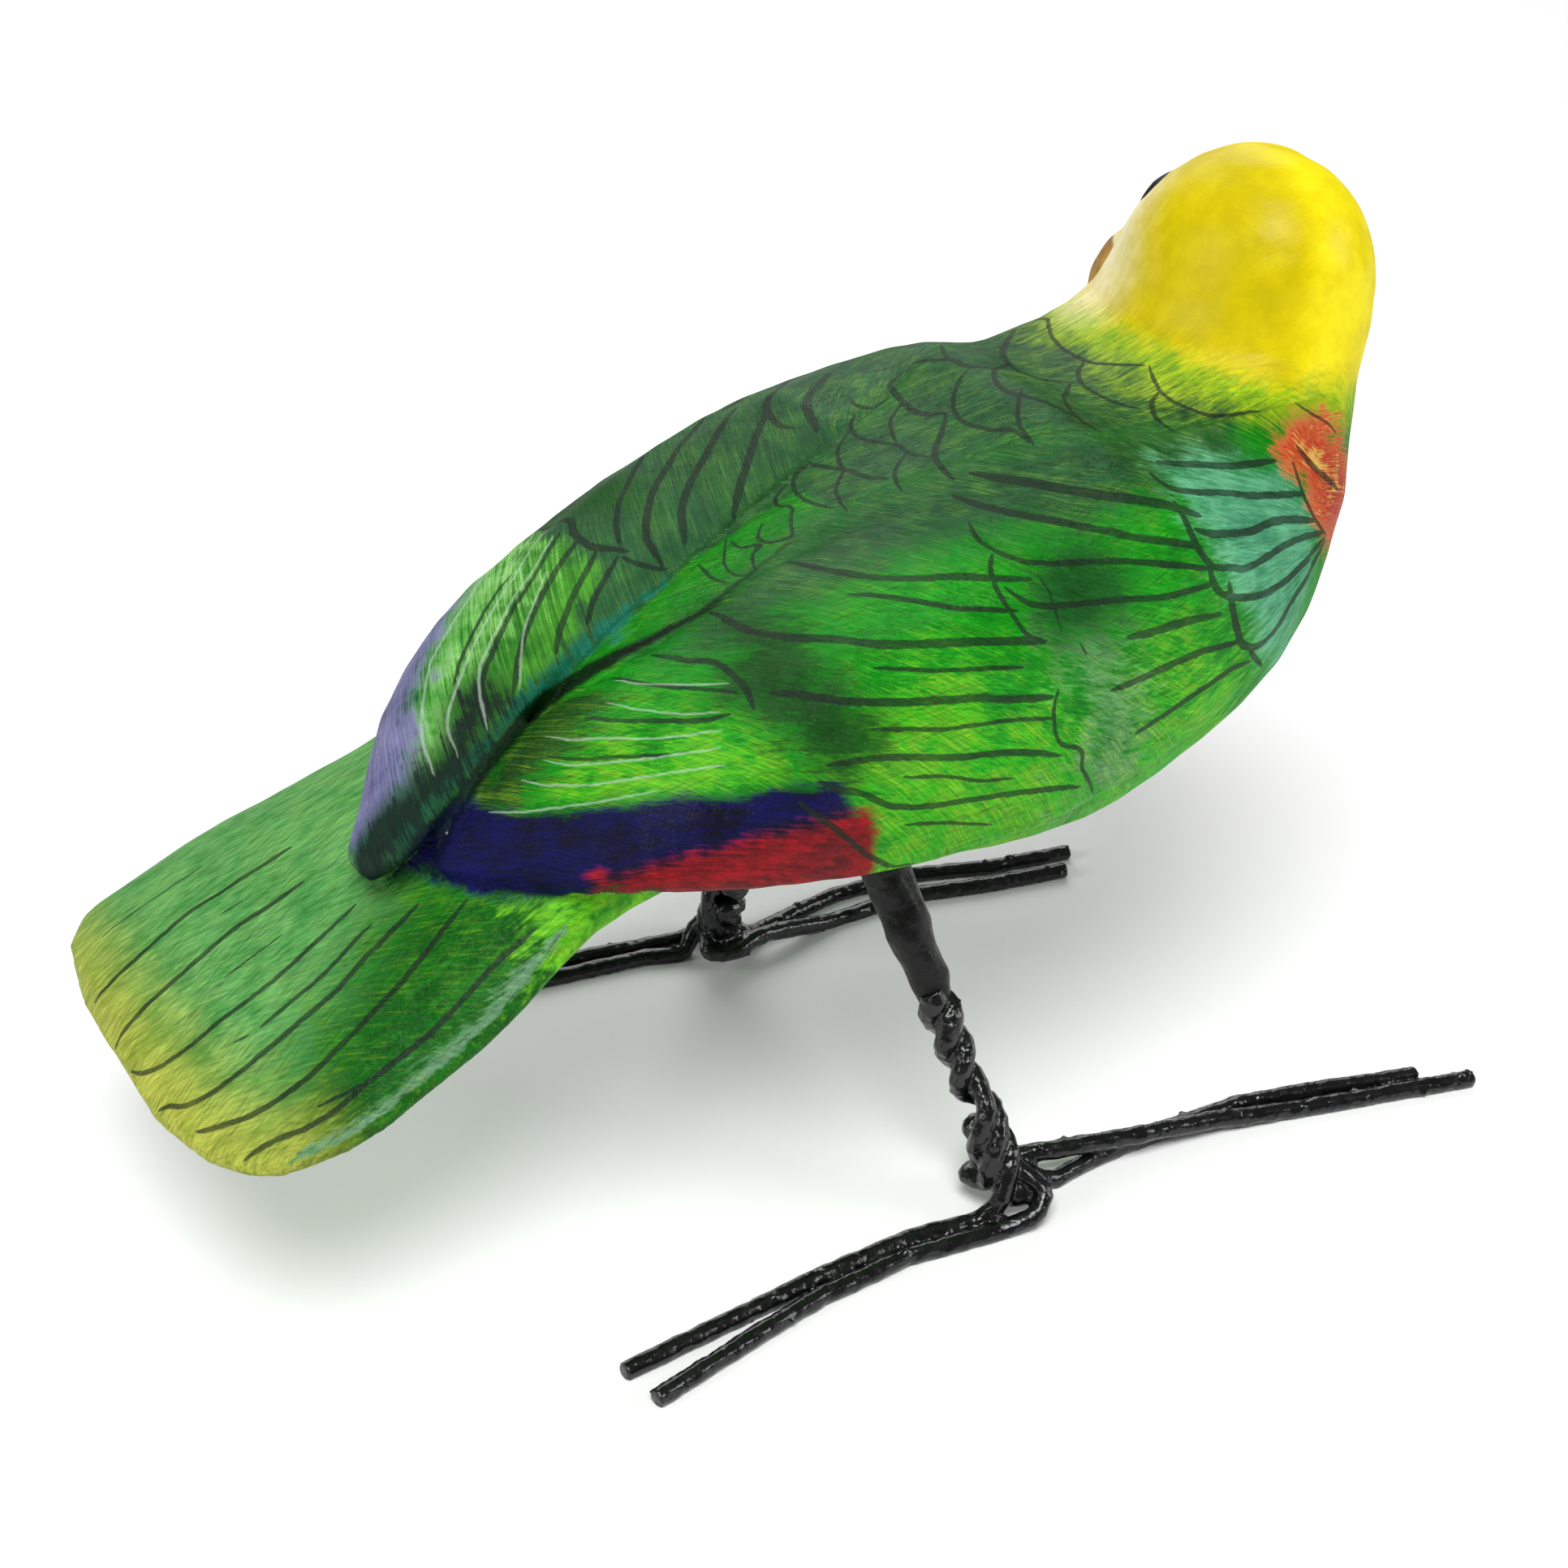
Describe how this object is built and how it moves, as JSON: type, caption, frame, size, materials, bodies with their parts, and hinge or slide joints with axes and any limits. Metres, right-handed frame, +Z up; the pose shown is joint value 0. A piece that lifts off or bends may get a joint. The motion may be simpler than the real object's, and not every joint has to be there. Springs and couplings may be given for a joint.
{
  "type": "ceramic parrot figurine",
  "caption": "Hand-painted ceramic parrot looking back over its left shoulder, standing on twisted black wire legs with long wire toes.",
  "frame": {"origin": "middle of the underside of the whole figurine's box, on the surface that it stands on", "axes": "+Z up; +Y towards the tail end, so the breast faces -Y; +X towards the bird's left, the side its beak points to"},
  "size_m": [0.0712, 0.128, 0.0908],
  "materials": {
    "painted_ceramic": "hand-painted, satin varnish",
    "black_enamelled_wire": "glossy black enamel",
    "black_painted_putty": "satin black paint"
  },
  "bodies": {
    "root": {"ceramic_bird": "painted_ceramic", "right_looped_toe_wire": "black_enamelled_wire", "right_straight_toe_wire": "black_enamelled_wire", "right_hairpin_wire": "black_enamelled_wire", "left_looped_toe_wire": "black_enamelled_wire", "left_straight_toe_wire": "black_enamelled_wire", "left_hairpin_wire": "black_enamelled_wire", "right_leg_sleeve": "black_painted_putty", "left_leg_sleeve": "black_painted_putty"}
  },
  "joints": []
}
